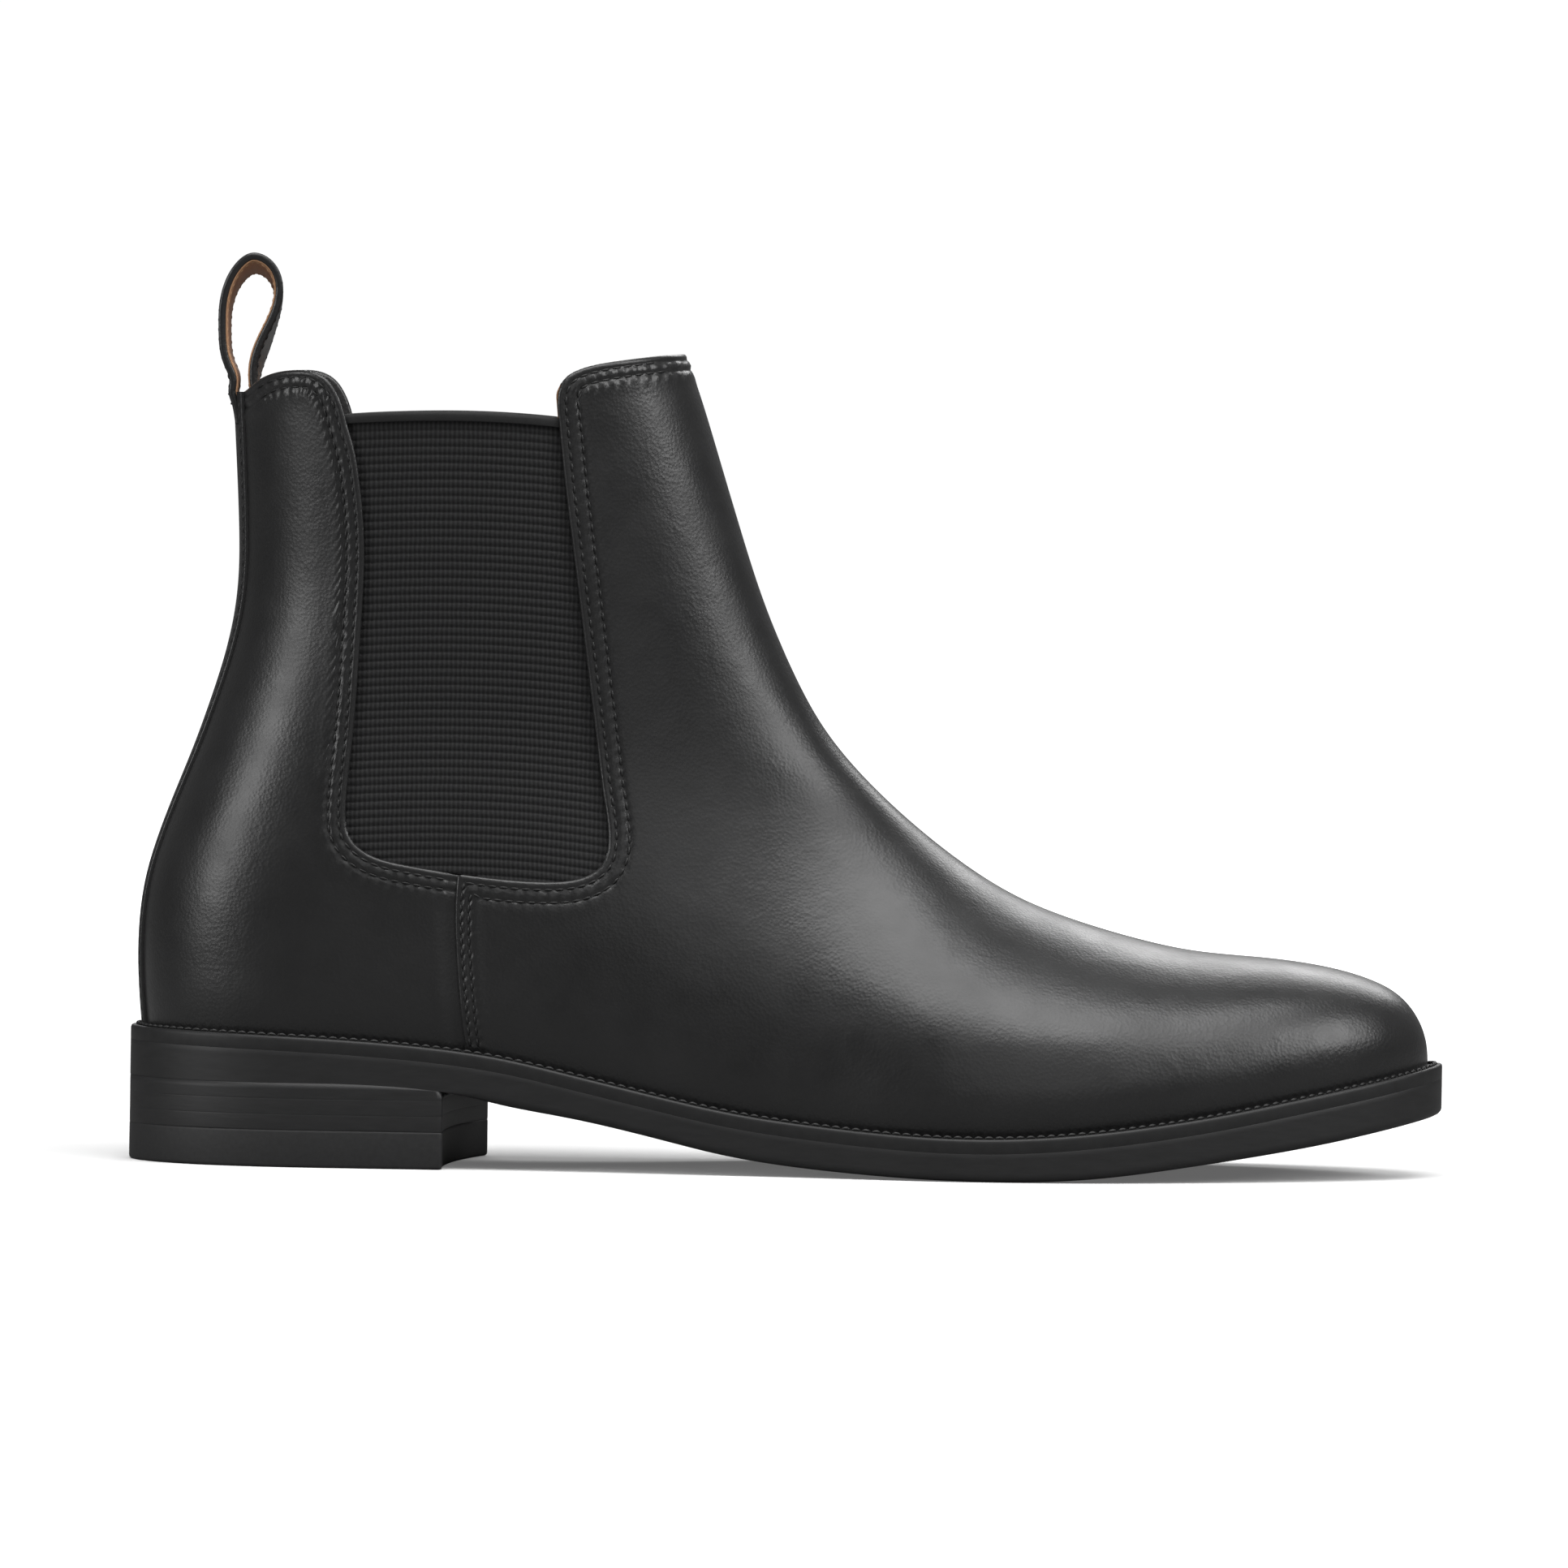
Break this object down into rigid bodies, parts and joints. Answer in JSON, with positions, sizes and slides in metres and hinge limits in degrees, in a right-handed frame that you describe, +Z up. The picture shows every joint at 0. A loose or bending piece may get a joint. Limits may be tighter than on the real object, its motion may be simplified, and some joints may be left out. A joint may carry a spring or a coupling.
{
  "type": "chelsea boot",
  "caption": "Ankle-high slip-on dress boot with elastic side panels, a pull loop at the back, a welted sole and a low stacked heel.",
  "frame": {"origin": "centre of the boot's footprint box, on the floor", "axes": "+X from heel to toe, +Y to the inner (medial) side of this right boot, +Z up"},
  "size_m": [0.3068, 0.1027, 0.2118],
  "materials": {
    "upper_leather": "black smooth calf leather, semi-gloss",
    "lining_leather": "tan lining leather, matt",
    "elastic": "black ribbed woven elastic",
    "binding_tape": "black folded tape",
    "stiffener": "thermoplastic toe puff and counter",
    "insole_leather": "vegetable-tanned insole board",
    "canvas_rib": "canvas rib",
    "foam": "latex foam",
    "cork": "granulated cork filler",
    "shank_steel": "spring steel",
    "nail_steel": "steel heel nails",
    "welt_leather": "black dyed welt",
    "sole_leather": "black inked sole edge, satin",
    "heel_leather": "black inked stacked heel, satin",
    "top_lift_rubber": "black rubber",
    "brass_pins": "brass pins, dull",
    "welt_thread": "black waxed thread"
  },
  "bodies": {
    "boot": {"vamp": "upper_leather", "quarter_lateral": "upper_leather", "quarter_medial": "upper_leather", "back_strip": "upper_leather", "pull_tab_anchor": "upper_leather", "vamp_lining": "lining_leather", "quarter_lining_lateral": "lining_leather", "quarter_lining_medial": "lining_leather", "sock_liner": "lining_leather", "gusset_lateral": "elastic", "gusset_medial": "elastic", "gusset_binding_lateral": "binding_tape", "gusset_binding_medial": "binding_tape", "toe_puff": "stiffener", "heel_counter": "stiffener", "insole_board": "insole_leather", "insole_rib": "canvas_rib", "footbed_foam": "foam", "cork_filler": "cork", "shank": "shank_steel", "heel_nails": "nail_steel", "welt": "welt_leather", "outsole": "sole_leather", "heel_lift_1": "heel_leather", "heel_lift_2": "heel_leather", "heel_lift_3": "heel_leather", "top_lift": "top_lift_rubber", "top_lift_pins": "brass_pins", "welt_stitching": "welt_thread"},
    "pull_tab_loop": {"pull_tab": "upper_leather", "pull_tab_lining": "lining_leather"}
  },
  "joints": [
    {"name": "pull_tab_swing", "type": "hinge", "parent": "boot", "child": "pull_tab_loop", "pos_m": [-0.12964, 0.00146, 0.182], "axis": [0, 1, 0], "range_deg": [-80, 60], "stiffness_Nm_per_rad": 0.02}
  ]
}
